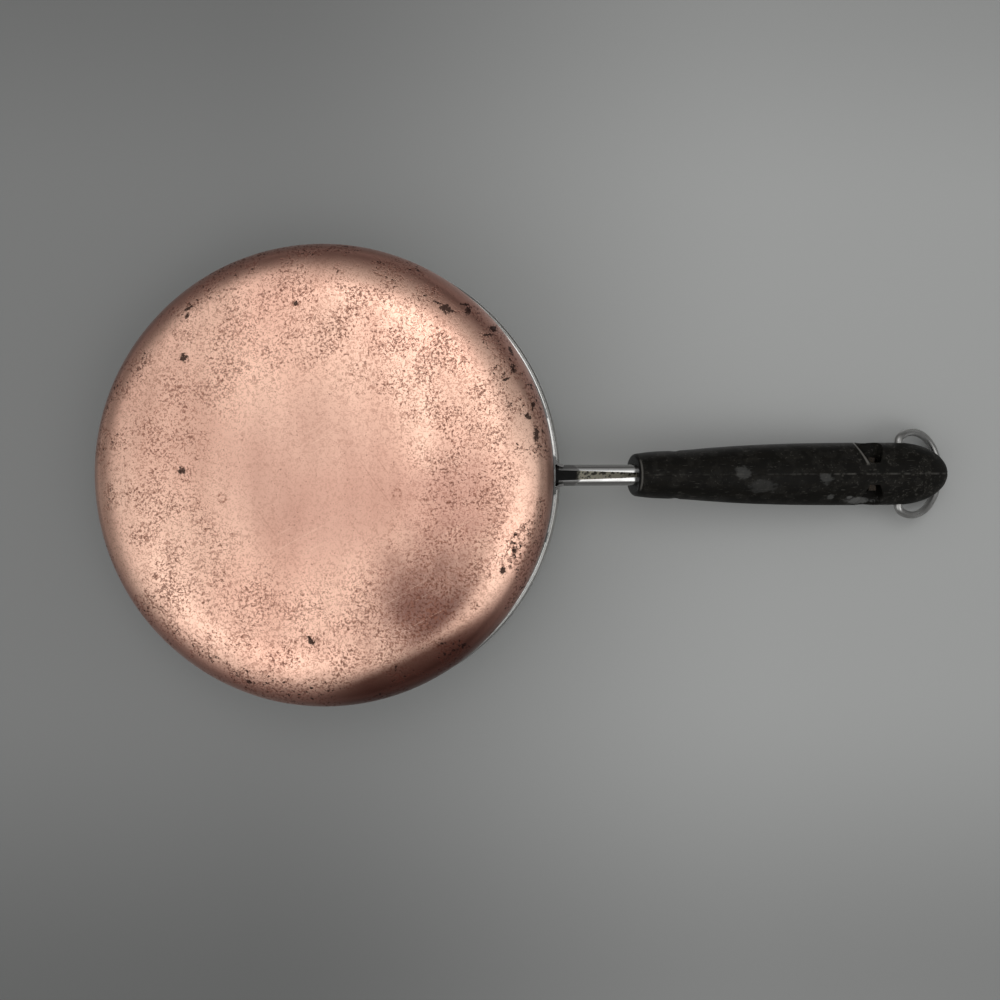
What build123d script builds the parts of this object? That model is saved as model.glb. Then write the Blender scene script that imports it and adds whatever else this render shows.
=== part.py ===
"""A copper-clad stainless steel skillet with a two-part grip and a wire hanging ring.

Millimetres. The origin is the centre of the flat base, +Z is up through the mouth of the bowl,
and the handle points along +X.
"""

import os
from math import acos, atan2, cos, degrees, radians, sin

from build123d import *

# Bowl: one pressed steel sheet, curled outwards at the rim
rim_radius = 115.0
pan_height = 50.0
steel_thickness = 0.8
gentle_radius = 44.0
gentle_turn = 30.0
corner_radius = 15.6
wall_flare = 1.0
curl_radius = 1.6
curl_turn = 215.0

# Copper layer over the base and the lower wall, up to a gap below the bracket's wings
copper_thickness = 0.5
copper_below_wing = 3.7

# Bracket: a folded steel channel whose sides open out into two welded wings
bracket_sheet = 1.2
tang_width = 10.4
tang_height = 14.0
tang_corner = 3.2
tang_rise = 13.0
tang_in_grip = 62.0
slot_at_wall = 5.2
slot_at_end = 2.4
wing_below_rim = 5.7
wing_half_angle = 17.0
wing_height = 16.6
wing_tip_height = 9.0
wing_tip_round = 3.0
flare_radius = 4.0
weld_radius = 2.4
weld_depth = 0.3
weld_angle_shares = (0.47, 0.775)

# Grip: two moulded halves that meet on the middle plane
grip_gap = 40.7
grip_length = 171.8
grip_half_width = 16.3
grip_half_depth = 12.6
grip_end_length = 28.0
grip_front_round = 1.4
tang_clearance = 0.15

# Half widths and half depths of the grip, as shares, at shares of its straight length
grip_station_shares = (0.0, 0.05, 0.17, 0.29, 0.41, 0.59, 0.78, 1.0)
grip_width_shares = (0.64, 0.70, 0.755, 0.84, 0.91, 0.97, 0.995, 1.0)
grip_depth_shares = (0.97, 0.98, 1.0, 1.0, 0.995, 0.985, 0.965, 0.94)
grip_end_angles = (22.0, 42.0, 58.0, 71.0, 81.0, 86.0)

# Cross fasteners: a rivet through the tang, and a screw and nut in deep recesses near the ring
shank_radius = 2.0
shank_clearance = 0.1
rivet_from_front = 22.0
rivet_head_radius = 3.1
rivet_head_height = 1.1
rivet_head_round = 0.5
rivet_recess_radius = 3.3
rivet_recess_depth = 1.5
screw_from_end = 46.8
screw_drop = 5.0
screw_recess_radius = 6.8
screw_recess_depth = 10.6
screw_head_radius = 4.0
screw_head_height = 2.6
drive_slot_width = 1.1
drive_slot_depth = 1.2
nut_across_flats = 7.0
nut_height = 3.0
thread_clearance = 0.05

# Hanging ring: one round wire bent to a D, whose straight side turns in the grip
wire_radius = 2.0
ring_pivot_from_end = 27.3
ring_bow_gap = 4.0
ring_side_gap = 0.3
ring_bend_radius = 3.6
ring_fit = 0.08
ring_rest_elevation = 35.0

# A cut runs this far past what it cuts
overrun = 2.0

# The bracket hangs from the rim, and the copper ends below it
tang_root_height = pan_height - wing_below_rim - wing_height / 2
copper_height = tang_root_height - wing_height / 2 - copper_below_wing

# Bowl geometry: the sheet's middle line meets the curl, which sets where the floor ends
wall_turn = 90.0 - wall_flare
sin_gentle, cos_gentle = sin(radians(gentle_turn)), cos(radians(gentle_turn))
sin_wall, cos_wall = sin(radians(wall_turn)), cos(radians(wall_turn))
sheet_middle = copper_thickness + steel_thickness / 2
curl_centre_height = pan_height - curl_radius - steel_thickness / 2
curl_start_height = curl_centre_height + curl_radius * cos_wall
curl_start_radius = rim_radius - steel_thickness / 2 - curl_radius * (1 + sin_wall)
arc_shift = gentle_radius - corner_radius
corner_centre_height = gentle_radius - arc_shift * cos_gentle
corner_end_height = corner_centre_height - (corner_radius - sheet_middle) * cos_wall
corner_end_radius = curl_start_radius - (curl_start_height - corner_end_height) * cos_wall / sin_wall
corner_centre_radius = corner_end_radius - (corner_radius - sheet_middle) * sin_wall
floor_radius = corner_centre_radius - arc_shift * sin_gentle


def wall_radius(height, inset):
    """Radius of the straight wall at a height, this far inside the outer copper face."""
    end_height = corner_centre_height - (corner_radius - inset) * cos_wall
    end_radius = corner_centre_radius + (corner_radius - inset) * sin_wall
    return end_radius + (height - end_height) * cos_wall / sin_wall


def bowl_face(inset, top):
    """Half outline of one face of the bowl, from the axis up to a height, and where it ends.

    A face that ends high has a piece of straight wall. One that ends lower ends on the corner.
    """
    reach = corner_radius - inset
    wall_start_height = corner_centre_height - reach * cos_wall
    top_turn = degrees(acos((corner_centre_height - min(top, wall_start_height)) / reach))
    floor = Line((0, inset), (floor_radius, inset))
    gentle = JernArc(floor @ 1, floor % 1, gentle_radius - inset, gentle_turn)
    last = JernArc(gentle @ 1, gentle % 1, reach, top_turn - gentle_turn)
    if top > wall_start_height:
        last = Line(last @ 1, (wall_radius(top, inset), top))
    return floor @ 0, last @ 1, last % 1


# Handle geometry: the axis leaves the wall's outer face and climbs at the tang's rise
steel_face = copper_thickness
tang_root_radius = wall_radius(tang_root_height, steel_face)
along = Vector(cos(radians(tang_rise)), 0, sin(radians(tang_rise)))
tang_root = Vector(tang_root_radius, 0, tang_root_height)


def on_axis(distance):
    """Point on the handle's axis at this distance from the wall."""
    return tang_root + along * distance


def across(distance):
    """Plane square to the handle's axis, local X along +Y and local Y upwards."""
    return Plane(origin=on_axis(distance), x_dir=(0, 1, 0), z_dir=along)


def side_plane(distance, drop=0.0):
    """Plane along the middle of the pan, at a point on the axis or below it, facing +Y."""
    below = Vector(sin(radians(tang_rise)), 0, -cos(radians(tang_rise))) * drop
    return Plane(origin=on_axis(distance) + below, x_dir=along, z_dir=(0, 1, 0))


grip_front = grip_gap
grip_end = grip_front + grip_length
grip_straight = grip_length - grip_end_length
tang_end = grip_front + tang_in_grip
rivet_at = grip_front + rivet_from_front
screw_at = grip_end - screw_from_end
ring_pivot_at = grip_end - ring_pivot_from_end


# Steel bowl with its curled rim
with BuildPart() as pan_body:
    with BuildSketch(Plane.XZ):
        with BuildLine():
            inside = copper_thickness + steel_thickness
            inner_start, inner_end, inner_way = bowl_face(inside, curl_start_height)
            outer_start, outer_end, outer_way = bowl_face(copper_thickness, curl_start_height)
            Line(inner_start, outer_start)
            over_curl = JernArc(inner_end, inner_way, curl_radius + steel_thickness / 2, -curl_turn)
            under_curl = JernArc(outer_end, outer_way, curl_radius - steel_thickness / 2, -curl_turn)
            Line(over_curl @ 1, under_curl @ 1)
        make_face()
    revolve(axis=Axis.Z)
pan_body.part.label = "pan_body"

# Copper layer, bonded to the outside of the steel
with BuildPart() as copper_cladding:
    with BuildSketch(Plane.XZ):
        with BuildLine():
            inner_start, inner_end, _ = bowl_face(copper_thickness, copper_height)
            outer_start, outer_end, _ = bowl_face(0, copper_height)
            Line(inner_start, outer_start)
            Line(inner_end, outer_end)
        make_face()
    revolve(axis=Axis.Z)
copper_cladding.part.label = "copper_cladding"

# The steel bowl as a filled solid, for trimming what seats against its wall
with BuildPart() as bowl_block:
    with BuildSketch(Plane.XZ):
        with BuildLine():
            block_start, block_end, _ = bowl_face(copper_thickness, curl_start_height)
            Line(block_end, (0, curl_start_height))
            Line((0, curl_start_height), block_start)
        make_face()
    revolve(axis=Axis.Z)

# Bracket: welded wings, flared corners and the channel that reaches into the grip
half_tang = tang_width / 2
wing_low = tang_root_height - wing_height / 2
wing_face_radius = tang_root_radius + bracket_sheet
wing_reach = wing_face_radius * sin(radians(wing_half_angle))
flare_centre_x = wing_face_radius + flare_radius
flare_centre_y = half_tang + flare_radius
with BuildPart() as handle_bracket:
    with BuildSketch(Plane.XY.offset(wing_low)):
        with BuildLine():
            wing_turn = 2 * wing_half_angle
            face_arc = CenterArc((0, 0), wing_face_radius, -wing_half_angle, wing_turn)
            seat_arc = CenterArc((0, 0), tang_root_radius - overrun, -wing_half_angle, wing_turn)
            Line(face_arc @ 0, seat_arc @ 0)
            Line(face_arc @ 1, seat_arc @ 1)
        make_face()
        with BuildLine():
            flare_centre = (flare_centre_x, flare_centre_y)
            hollow_side = CenterArc(flare_centre, flare_radius, 180, 90)
            channel_side = CenterArc(flare_centre, flare_radius + bracket_sheet, 180, 90)
            Line(hollow_side @ 0, channel_side @ 0)
            Line(hollow_side @ 1, channel_side @ 1)
        flare = make_face()
        mirror(flare, about=Plane.XZ)
    extrude(amount=wing_height)
    with BuildSketch(Plane.YZ.offset(tang_root_radius / 2)):
        with BuildLine():
            wing_mid = tang_root_height
            shoulder = flare_centre_y
            Polyline(
                (-wing_reach, wing_mid - wing_tip_height / 2),
                (-shoulder, wing_mid - wing_height / 2),
                (shoulder, wing_mid - wing_height / 2),
                (wing_reach, wing_mid - wing_tip_height / 2),
                (wing_reach, wing_mid + wing_tip_height / 2),
                (shoulder, wing_mid + wing_height / 2),
                (-shoulder, wing_mid + wing_height / 2),
                (-wing_reach, wing_mid + wing_tip_height / 2),
                close=True,
            )
        wings = make_face()
        corners = wings.vertices().group_by(Axis.Y)
        fillet(corners[0] + corners[-1], wing_tip_round)
    extrude(amount=tang_root_radius, mode=Mode.INTERSECT)
    with BuildSketch(across(bracket_sheet)):
        RectangleRounded(tang_width, tang_height, tang_corner)
        RectangleRounded(
            tang_width - 2 * bracket_sheet,
            tang_height - 2 * bracket_sheet,
            tang_corner - bracket_sheet,
            mode=Mode.SUBTRACT,
        )
    extrude(amount=tang_end - bracket_sheet)
    # the folded edges of the channel close in towards the grip
    with BuildSketch(Plane(origin=tang_root, x_dir=along, z_dir=(-along.Z, 0, along.X))):
        Polygon(
            (0, -slot_at_wall / 2),
            (grip_front, -slot_at_end / 2),
            (tang_end + overrun, -slot_at_end / 2),
            (tang_end + overrun, slot_at_end / 2),
            (grip_front, slot_at_end / 2),
            (0, slot_at_wall / 2),
            align=None,
        )
    extrude(amount=-tang_height, mode=Mode.SUBTRACT)
    add(bowl_block.part, mode=Mode.SUBTRACT)
    with Locations(side_plane(rivet_at)):
        Cylinder(shank_radius + 2 * shank_clearance, tang_width + overrun, mode=Mode.SUBTRACT)
    # shallow round marks where the wings are spot-welded to the wall
    weld_floor = Vector(wing_face_radius - weld_depth, 0, tang_root_height)
    for share in weld_angle_shares:
        for angle in (-wing_half_angle * share, wing_half_angle * share):
            outwards = Vector(1, 0, 0).rotate(Axis.Z, angle)
            with Locations(Plane(origin=weld_floor.rotate(Axis.Z, angle), z_dir=outwards)):
                Cylinder(
                    weld_radius,
                    overrun,
                    align=(Align.CENTER, Align.CENTER, Align.MIN),
                    mode=Mode.SUBTRACT,
                )
handle_bracket.part.label = "handle_bracket"


def grip_sections():
    """Distance from the front, half width and half depth of each section of the grip."""
    rows = []
    for station, width, depth in zip(grip_station_shares, grip_width_shares, grip_depth_shares):
        rows.append((grip_straight * station, grip_half_width * width, grip_half_depth * depth))
    last_depth = grip_half_depth * grip_depth_shares[-1]
    for angle in grip_end_angles:
        reach = grip_straight + grip_end_length * sin(radians(angle))
        rows.append((reach, grip_half_width * cos(radians(angle)), last_depth * cos(radians(angle))))
    return rows


def half_width_at(distance):
    """Half width of the grip at a distance from its front, between the stations."""
    rows = grip_sections()
    for before, after in zip(rows, rows[1:]):
        if before[0] <= distance <= after[0]:
            share = (distance - before[0]) / (after[0] - before[0])
            return before[1] + (after[1] - before[1]) * share
    return rows[-1][1]


rivet_seat = half_width_at(rivet_from_front) - rivet_recess_depth
screw_seat = half_width_at(grip_length - screw_from_end) - screw_recess_depth

# The whole grip, before it is parted into its two halves
with BuildPart() as grip_block:
    for reach, half_width, half_depth in grip_sections():
        with BuildSketch(across(grip_front + reach)):
            Ellipse(half_width, half_depth)
    loft()
    front_face = grip_block.faces().filter_by(GeomType.PLANE).sort_by(Axis.X)[0]
    fillet(front_face.edges(), grip_front_round)
    with BuildSketch(across(grip_front - overrun)):
        RectangleRounded(
            tang_width + 2 * tang_clearance,
            tang_height + 2 * tang_clearance,
            tang_corner + tang_clearance,
        )
    extrude(amount=tang_in_grip + overrun + tang_clearance, mode=Mode.SUBTRACT)
    for place, seat, recess_radius, drop in (
        (rivet_at, rivet_seat, rivet_recess_radius, 0.0),
        (screw_at, screw_seat, screw_recess_radius, screw_drop),
    ):
        for side in (-1, 1):
            with Locations(side_plane(place, drop).offset(side * seat)):
                Cylinder(
                    recess_radius,
                    2 * grip_half_width,
                    align=(Align.CENTER, Align.CENTER, Align.MIN if side > 0 else Align.MAX),
                    mode=Mode.SUBTRACT,
                )
        with Locations(side_plane(place, drop)):
            Cylinder(shank_radius + shank_clearance, 4 * grip_half_width, mode=Mode.SUBTRACT)
    with Locations(side_plane(ring_pivot_at)):
        Cylinder(wire_radius + ring_fit, 4 * grip_half_width, mode=Mode.SUBTRACT)

with BuildPart() as left_grip_half:
    add(grip_block.part)
    split(bisect_by=Plane.XZ, keep=Keep.TOP)
left_grip_half.part.label = "left_grip_half"

with BuildPart() as right_grip_half:
    add(grip_block.part)
    split(bisect_by=Plane.XZ, keep=Keep.BOTTOM)
right_grip_half.part.label = "right_grip_half"


# Rivet through the front of the grip and the tang
with BuildPart() as front_rivet:
    with Locations(side_plane(rivet_at)):
        Cylinder(shank_radius, 2 * rivet_seat)
    for side in (-1, 1):
        with Locations(side_plane(rivet_at).offset(side * (rivet_seat + rivet_head_height / 2))):
            Cylinder(rivet_head_radius, rivet_head_height)
    outer_rims = front_rivet.edges().filter_by(GeomType.CIRCLE).group_by(Axis.Y)
    fillet(outer_rims[0] + outer_rims[-1], rivet_head_round)
front_rivet.part.label = "front_rivet"

# Slotted cheese-head screw, its head in the left half's recess
screw_plane = side_plane(screw_at, screw_drop)
with BuildPart() as rear_screw:
    with BuildSketch(screw_plane.offset(-screw_seat)):
        Circle(screw_head_radius)
    extrude(amount=-screw_head_height)
    with BuildSketch(screw_plane.offset(-screw_seat)):
        Circle(shank_radius)
    extrude(amount=2 * screw_seat + nut_height)
    with BuildSketch(screw_plane.offset(-screw_seat - screw_head_height)):
        Rectangle(2 * screw_head_radius + overrun, drive_slot_width)
    extrude(amount=drive_slot_depth, mode=Mode.SUBTRACT)
rear_screw.part.label = "rear_screw"

# Hexagon nut in the right half's recess
with BuildPart() as rear_nut:
    with BuildSketch(screw_plane.offset(screw_seat)):
        RegularPolygon(nut_across_flats / 2, 6, major_radius=False)
        Circle(shank_radius + thread_clearance, mode=Mode.SUBTRACT)
    extrude(amount=nut_height)
rear_nut.part.label = "rear_nut"

# Hanging ring: the straight side spans the grip, and the bow passes round the grip's end
half_span = grip_half_width + ring_side_gap
bow_reach = ring_pivot_from_end + ring_bow_gap + wire_radius
bend_to_bend = bow_reach - 2 * ring_bend_radius
bow_shift = (bend_to_bend**2 - half_span**2) / (2 * bend_to_bend)
bow_centre = ring_bend_radius + bow_shift
bow_radius = bow_reach - bow_centre
bend_turn = degrees(atan2(half_span, -bow_shift))
ring_rest = radians(ring_rest_elevation)
ring_plane = Plane(
    origin=on_axis(ring_pivot_at),
    x_dir=(cos(ring_rest), 0, sin(ring_rest)),
    z_dir=(-sin(ring_rest), 0, cos(ring_rest)),
)
with BuildPart() as hanging_ring:
    with BuildLine(ring_plane) as ring_path:
        Line((0, -half_span), (0, half_span))
        CenterArc((ring_bend_radius, half_span), ring_bend_radius, 180, bend_turn - 180)
        CenterArc((bow_centre, 0), bow_radius, bend_turn, -2 * bend_turn)
        CenterArc((ring_bend_radius, -half_span), ring_bend_radius, -bend_turn, bend_turn - 180)
    with BuildSketch(Plane(origin=ring_plane.origin, z_dir=(0, 1, 0))):
        Circle(wire_radius)
    sweep(path=ring_path.wires()[0])
hanging_ring.part.label = "hanging_ring"

pieces = (
    pan_body,
    copper_cladding,
    handle_bracket,
    left_grip_half,
    right_grip_half,
    front_rivet,
    rear_screw,
    rear_nut,
    hanging_ring,
)
os.makedirs("parts", exist_ok=True)
for piece in pieces:
    export_step(piece.part, f"parts/{piece.part.label}.step")

print("floor radius", round(floor_radius, 2), "copper height", round(copper_height, 2))
print("bracket meets the wall at radius", round(tang_root_radius, 2), "height", tang_root_height)
print("ring pivot", [round(value, 3) for value in on_axis(ring_pivot_at)])
print("grip end", [round(value, 3) for value in on_axis(grip_end)])
print("ring bow radius", round(bow_radius, 2), "centred", round(bow_centre, 2), "from the pivot")
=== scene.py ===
# %% [markdown]
# # A copper-clad skillet, portrayed from below
#
# The pan is a pressed steel bowl with a thin copper layer over its base. A folded steel bracket is
# welded to its wall, and carries a dark moulded grip in two halves with a wire hanging ring.
# The packed model fixes every size and place. This lesson makes the surfaces that the camera sees,
# and their finishes, around it. Blender counts in metres, and `mm` is a millimetre.

# %% Load the packed model
from math import atan2, cos, radians, sin

import bmesh
import bpy
import numpy as np
from mathutils import Matrix, Vector


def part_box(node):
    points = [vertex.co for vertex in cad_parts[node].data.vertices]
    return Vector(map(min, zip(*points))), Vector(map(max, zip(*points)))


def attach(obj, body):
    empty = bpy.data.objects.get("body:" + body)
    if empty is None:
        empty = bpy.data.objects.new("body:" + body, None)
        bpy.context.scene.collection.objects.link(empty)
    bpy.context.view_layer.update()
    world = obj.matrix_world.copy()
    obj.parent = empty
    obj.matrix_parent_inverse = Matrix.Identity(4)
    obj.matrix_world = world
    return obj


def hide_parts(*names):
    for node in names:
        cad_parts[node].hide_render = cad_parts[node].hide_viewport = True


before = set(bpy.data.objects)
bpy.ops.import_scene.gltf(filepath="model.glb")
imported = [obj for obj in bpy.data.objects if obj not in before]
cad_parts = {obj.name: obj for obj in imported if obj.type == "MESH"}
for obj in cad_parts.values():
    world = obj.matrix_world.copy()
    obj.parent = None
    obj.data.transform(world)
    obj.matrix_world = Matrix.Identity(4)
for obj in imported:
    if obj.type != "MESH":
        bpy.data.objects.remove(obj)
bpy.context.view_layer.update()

mm = 0.001
print("nodes", sorted(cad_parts))

# %% [markdown]
# ## The camera
#
# The photograph looks almost straight at the base of a pan that lies upside down. Here the pan
# stands upright, so the same view is had by looking up at it from below. The place and the three
# turns were fitted to the pan's outline. The sensor is as wide as the lens is long, because the
# fitted focal length is as many pixels as the picture is wide.

# %% Camera under the base
camera_place = Vector((115.7, -0.36, -459.1)) * mm
camera_swing = radians(-3.529)
camera_nod = radians(-1.438)
camera_roll = radians(0.274)
look_up = Matrix.Rotation(radians(180), 3, "X")
camera_turn = look_up @ (
    Matrix.Rotation(camera_roll, 3, "Z")
    @ Matrix.Rotation(-camera_nod, 3, "X")
    @ Matrix.Rotation(camera_swing, 3, "Y")
).transposed()
camera_data = bpy.data.cameras.new("portrait_camera")
camera_data.sensor_width = 36.0
camera_data.lens = 36.0
camera = bpy.data.objects.new("portrait_camera", camera_data)
camera.matrix_world = Matrix.Translation(camera_place) @ camera_turn.to_4x4()
bpy.context.scene.collection.objects.link(camera)
bpy.context.scene.camera = camera
bpy.context.scene.view_settings.view_transform = "Standard"
print("camera at", [round(place / mm, 1) for place in camera_place], "mm")

# %% [markdown]
# ## Wiring materials
#
# A finish is a small recipe: a few patterns, mixed into the colour, the roughness and the bump of
# one Principled shader. `Recipe` keeps each step of such a recipe on one line.


# %% A helper that adds and joins nodes
class Recipe:
    """Adds nodes to one tree. Each method takes plain values or sockets and returns a socket."""

    def __init__(self, tree):
        self.tree = tree

    def plug(self, value, target):
        """Joins a socket to the target, or writes a plain value on it."""
        if isinstance(value, bpy.types.NodeSocket):
            self.tree.links.new(value, target)
        else:
            target.default_value = value

    def node(self, kind, inputs, **settings):
        made = self.tree.nodes.new(kind)
        for name, value in settings.items():
            setattr(made, name, value)
        for socket, value in inputs.items():
            self.plug(value, made.inputs[socket])
        return made

    def math(self, operation, first, second=0.0):
        return self.node("ShaderNodeMath", {0: first, 1: second}, operation=operation).outputs[0]

    def add(self, first, second):
        return self.math("ADD", first, second)

    def minus(self, first, second):
        return self.math("SUBTRACT", first, second)

    def most(self, first, second):
        return self.math("MAXIMUM", first, second)

    def unsigned(self, value):
        return self.math("ABSOLUTE", value)

    def product(self, *factors):
        total = factors[0]
        for factor in factors[1:]:
            total = self.math("MULTIPLY", total, factor)
        return total

    def ramp(self, value, low, high, at_low=0.0, at_high=1.0):
        """at_low below low, at_high above high, and a smooth step between them."""
        inputs = {"Value": value, "From Min": low, "From Max": high, "To Min": at_low, "To Max": at_high}
        made = self.node("ShaderNodeMapRange", inputs, interpolation_type="SMOOTHSTEP")
        return made.outputs["Result"]

    def band(self, value, middle, edge, core):
        """1 within `core` of the middle, and 0 beyond `edge` from it."""
        return self.ramp(self.unsigned(self.minus(value, middle)), edge, core)

    def noise(self, vector, size, detail=3.0, roughness=0.55, distortion=0.0):
        """Soft noise whose patches are about this size."""
        inputs = {"Vector": vector, "Scale": self.math("DIVIDE", 1.0, size), "Detail": detail}
        inputs |= {"Roughness": roughness, "Distortion": distortion}
        return self.node("ShaderNodeTexNoise", inputs).outputs["Fac"]

    def pattern(self, group, vector, size, amount=0.0):
        """One of the shared patterns, at this size."""
        inputs = {"Vector": vector, "Size": size, "Amount": amount}
        return self.node("ShaderNodeGroup", inputs, node_tree=group).outputs["Mask"]

    def mix(self, share, first, second):
        made = self.node("ShaderNodeMix", {}, data_type="RGBA")
        for name, kind, value in (("Factor", "VALUE", share), ("A", "RGBA", first), ("B", "RGBA", second)):
            self.plug(value, next(s for s in made.inputs if s.name == name and s.type == kind))
        return next(s for s in made.outputs if s.type == "RGBA")

    def paint(self, tone, colour, mask, strength=1.0):
        """The tone with a colour laid over it as far as the mask and the strength say."""
        return self.mix(self.product(mask, strength), tone, colour)

    def vector(self, operation, first, second=(0, 0, 0)):
        made = self.node("ShaderNodeVectorMath", {0: first, 1: second}, operation=operation)
        return made.outputs["Value" if operation in ("LENGTH", "DISTANCE") else "Vector"]

    def scaled(self, vector, factors):
        return self.vector("MULTIPLY", vector, factors)

    def split(self, vector):
        return self.node("ShaderNodeSeparateXYZ", {"Vector": vector}).outputs

    def place(self, vector, at=(0, 0, 0), turn=(0, 0, 0), scale=(1, 1, 1)):
        """The same place as seen from `at`, then turned and then scaled."""
        moved = self.vector("SUBTRACT", vector, at)
        turned = self.node("ShaderNodeMapping", {"Vector": moved, "Rotation": turn}).outputs["Vector"]
        return self.scaled(turned, scale)

    def bump(self, height, depth, normal=None):
        """Pushes the normal as a relief of this depth would."""
        inputs = {"Height": height, "Distance": depth}
        if normal is not None:
            inputs["Normal"] = normal
        return self.node("ShaderNodeBump", inputs).outputs["Normal"]


def new_finish(name, metallic):
    """A material with one Principled shader. Returns it, its recipe, the shader and its place."""
    material = bpy.data.materials.new(name)
    material.use_nodes = True
    tree = material.node_tree
    tree.nodes.clear()
    recipe = Recipe(tree)
    shader = recipe.node("ShaderNodeBsdfPrincipled", {"Metallic": metallic, "IOR": 1.5})
    recipe.node("ShaderNodeOutputMaterial", {"Surface": shader.outputs["BSDF"]})
    where = recipe.node("ShaderNodeTexCoord", {}).outputs["Object"]
    return material, recipe, shader, where


def feed(recipe, shader, **inputs):
    """Joins sockets to the shader's inputs, whose names are written with underscores."""
    for name, socket in inputs.items():
        recipe.plug(socket, shader.inputs[name.replace("_", " ")])


def ragged_ovals(recipe, where, ovals, ragged, clear, full):
    """The strongest of several ovals: none of it past `clear` half lengths, all of it within `full`."""
    covered = 0.0
    for x, y, length, width, turn, strength in ovals:
        scale = (1 / (length * mm), 1 / (width * mm), 0)
        oval = recipe.place(where, at=(x * mm, y * mm, 0), turn=(0, 0, -radians(turn)), scale=scale)
        away = recipe.add(recipe.vector("LENGTH", oval), ragged)
        covered = recipe.most(covered, recipe.product(recipe.ramp(away, clear, full), strength))
    return covered


print("recipe steps", [name for name in vars(Recipe) if not name.startswith("_")])

# %% [markdown]
# ## Three patterns that every finish shares
#
# Old metal and old plastic age alike: fine specks where something bit or settled, thin scratches
# that all run much the same way, and soft clouds where hands and heat have changed the tone.
# Each is noise above a threshold, in a node group, so that the copper, the steel and the grip can
# all use it. Scratches are noise drawn out along local X, until its patches are thin lines.


# %% Specks, scratches and clouds as node groups
def make_pattern(name, stretch, detail, roughness, distortion, threshold, fall, softness):
    """Noise above a threshold that falls as the amount rises, with an edge of this softness."""
    group = bpy.data.node_groups.new(name, "ShaderNodeTree")
    kinds = {"Vector": "NodeSocketVector", "Size": "NodeSocketFloat", "Amount": "NodeSocketFloat"}
    for socket, kind in kinds.items():
        group.interface.new_socket(socket, in_out="INPUT", socket_type=kind)
    group.interface.new_socket("Mask", in_out="OUTPUT", socket_type="NodeSocketFloat")
    recipe = Recipe(group)
    given = group.nodes.new("NodeGroupInput").outputs
    drawn_out = recipe.scaled(given["Vector"], stretch)
    level = recipe.noise(drawn_out, given["Size"], detail, roughness, distortion)
    above = recipe.minus(level, recipe.minus(threshold, recipe.product(given["Amount"], fall)))
    recipe.node("NodeGroupOutput", {"Mask": recipe.ramp(above, 0.0, softness)})
    return group


specks = make_pattern("specks", (1, 1, 1), 2.5, 0.6, 0.0, threshold=0.80, fall=0.32, softness=0.06)
scratches = make_pattern("scratches", (0.02, 1, 1), 2.0, 0.5, 0.15, threshold=0.78, fall=0.26, softness=0.05)
clouds = make_pattern("clouds", (1, 1, 1), 3.0, 0.5, 0.0, threshold=0.30, fall=0.0, softness=0.40)
print("pattern groups", [group.name for group in (specks, scratches, clouds)])

# %% [markdown]
# ## Surfaces from grids
#
# A turned piece is a profile carried round an axis, and a grip is a section that changes along a
# line. Both are a grid of points: one row for each place along, one column for each place round.
# numpy works out the whole grid at once, and four neighbours in the grid make a face.


# %% Helpers that turn grids into meshes
def new_object(name, points, faces):
    """A mesh object at the origin."""
    mesh = bpy.data.meshes.new(name)
    mesh.from_pydata(np.asarray(points).reshape(-1, 3).tolist(), [], faces)
    made = bpy.data.objects.new(name, mesh)
    bpy.context.scene.collection.objects.link(made)
    return made


def shade(mesh, sharp):
    """Smooth shading, with a crisp edge where two faces fold more than `sharp` degrees."""
    mesh.shade_smooth()
    mesh.set_sharp_from_angle(angle=radians(sharp))


def new_piece(name, points, faces, sharp=35.0):
    """A smooth-shaded piece without doubled points. Edges that fold more than `sharp` stay crisp."""
    piece = new_object(name, points, faces)
    merged = bmesh.new()
    merged.from_mesh(piece.data)
    bmesh.ops.remove_doubles(merged, verts=merged.verts, dist=0.002 * mm)
    bmesh.ops.recalc_face_normals(merged, faces=merged.faces)
    merged.to_mesh(piece.data)
    merged.free()
    shade(piece.data, sharp)
    return piece


def grid_faces(rows, columns, close_rows=False):
    """The corners of each cell of a grid, numbered row by row, whose rows are rings."""
    row = np.arange(rows if close_rows else rows - 1)[:, None]
    column = np.arange(columns)[None, :]
    next_row, next_column = (row + 1) % rows, (column + 1) % columns
    ends = ((row, column), (row, next_column), (next_row, next_column), (next_row, column))
    corners = [at_row * columns + at_column for at_row, at_column in ends]
    return np.stack(corners, axis=-1).reshape(-1, 4).tolist()


def turned(profile, segments):
    """Grid of a profile of (radius, height) carried round the Z axis: (r cos a, r sin a, h)."""
    angle = np.linspace(0, 2 * np.pi, segments, endpoint=False)
    radius, height = profile[:, :1], profile[:, 1:]
    return np.stack([radius * np.cos(angle), radius * np.sin(angle), height + 0 * angle], axis=-1)


def waves(points, length, seed, count=7):
    """Gentle unevenness from -1 to 1: the mean of sines that run in random directions."""
    draw = np.random.default_rng(seed)
    headings = draw.normal(size=(count, 3))
    headings /= np.linalg.norm(headings, axis=1, keepdims=True)
    pitches = 2 * np.pi / (length * draw.uniform(0.7, 1.5, count))
    phases = draw.uniform(0, 2 * np.pi, count)
    return np.sin((points @ headings.T) * pitches + phases).mean(axis=-1)


def dress(piece, body, material, node):
    """Gives a piece its material and its body, and hides the packed node that it stands for."""
    piece.data.materials.clear()
    piece.data.materials.append(material)
    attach(piece, body)
    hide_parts(node)


print("helpers for grids are ready")

# %% [markdown]
# ## The bowl and its copper
#
# The bowl's side view is a flat floor, a gentle bend, a tighter bend and an almost straight wall.
# Both faces of the steel and both faces of the copper follow that line, each at its own inset from
# the outermost face, so one function draws them all. The steel ends in a curl that rolls outwards.

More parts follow.
